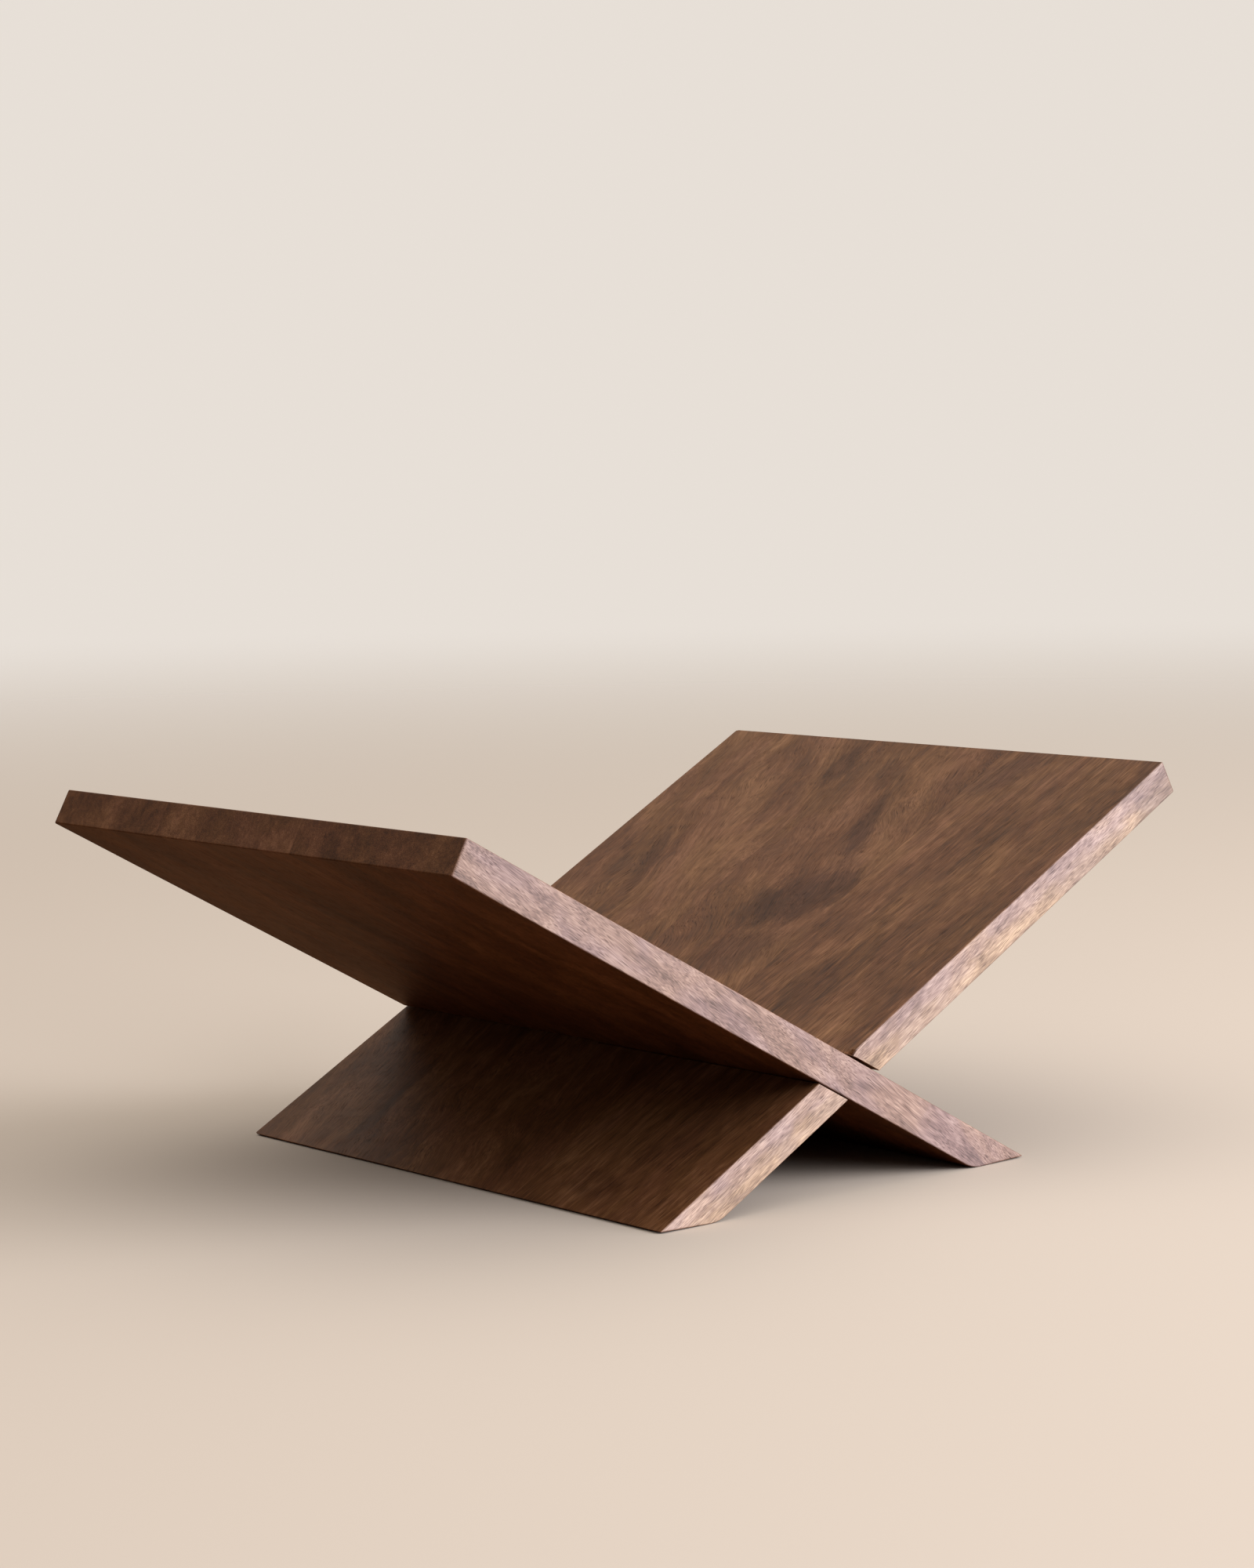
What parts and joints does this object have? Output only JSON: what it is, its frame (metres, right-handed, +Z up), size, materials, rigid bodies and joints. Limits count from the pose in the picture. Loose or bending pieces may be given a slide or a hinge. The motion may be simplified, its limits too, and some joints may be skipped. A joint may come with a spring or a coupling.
{
  "type": "photo album stand",
  "caption": "Knock-down X-shaped stand of slotted wooden boards that cross at mid depth and hold an open album or book in the upper V.",
  "frame": {"origin": "on the table under the line where the two boards cross, midway from front to back", "axes": "+Z up, +X to the right along the stand's length, +Y from the front to the back"},
  "size_m": [0.4054, 0.28, 0.1643],
  "materials": {
    "right_board_back_stave": "satin oil",
    "right_board_middle_stave": "satin oil",
    "right_board_front_stave": "satin oil",
    "left_board_front_stave": "satin oil",
    "left_board_middle_stave": "satin oil",
    "left_board_back_stave": "satin oil"
  },
  "bodies": {
    "right_board": {"right_board_back_stave": "right_board_back_stave", "right_board_middle_stave": "right_board_middle_stave", "right_board_front_stave_upper": "right_board_front_stave", "right_board_front_stave_lower": "right_board_front_stave"},
    "left_board": {"left_board_front_stave": "left_board_front_stave", "left_board_middle_stave": "left_board_middle_stave", "left_board_back_stave_upper": "left_board_back_stave", "left_board_back_stave_lower": "left_board_back_stave"}
  },
  "joints": [
    {"name": "boards_slide_apart", "type": "slide", "parent": "right_board", "child": "left_board", "axis": [0, -1, 0], "range_m": [0, 0.28]}
  ]
}
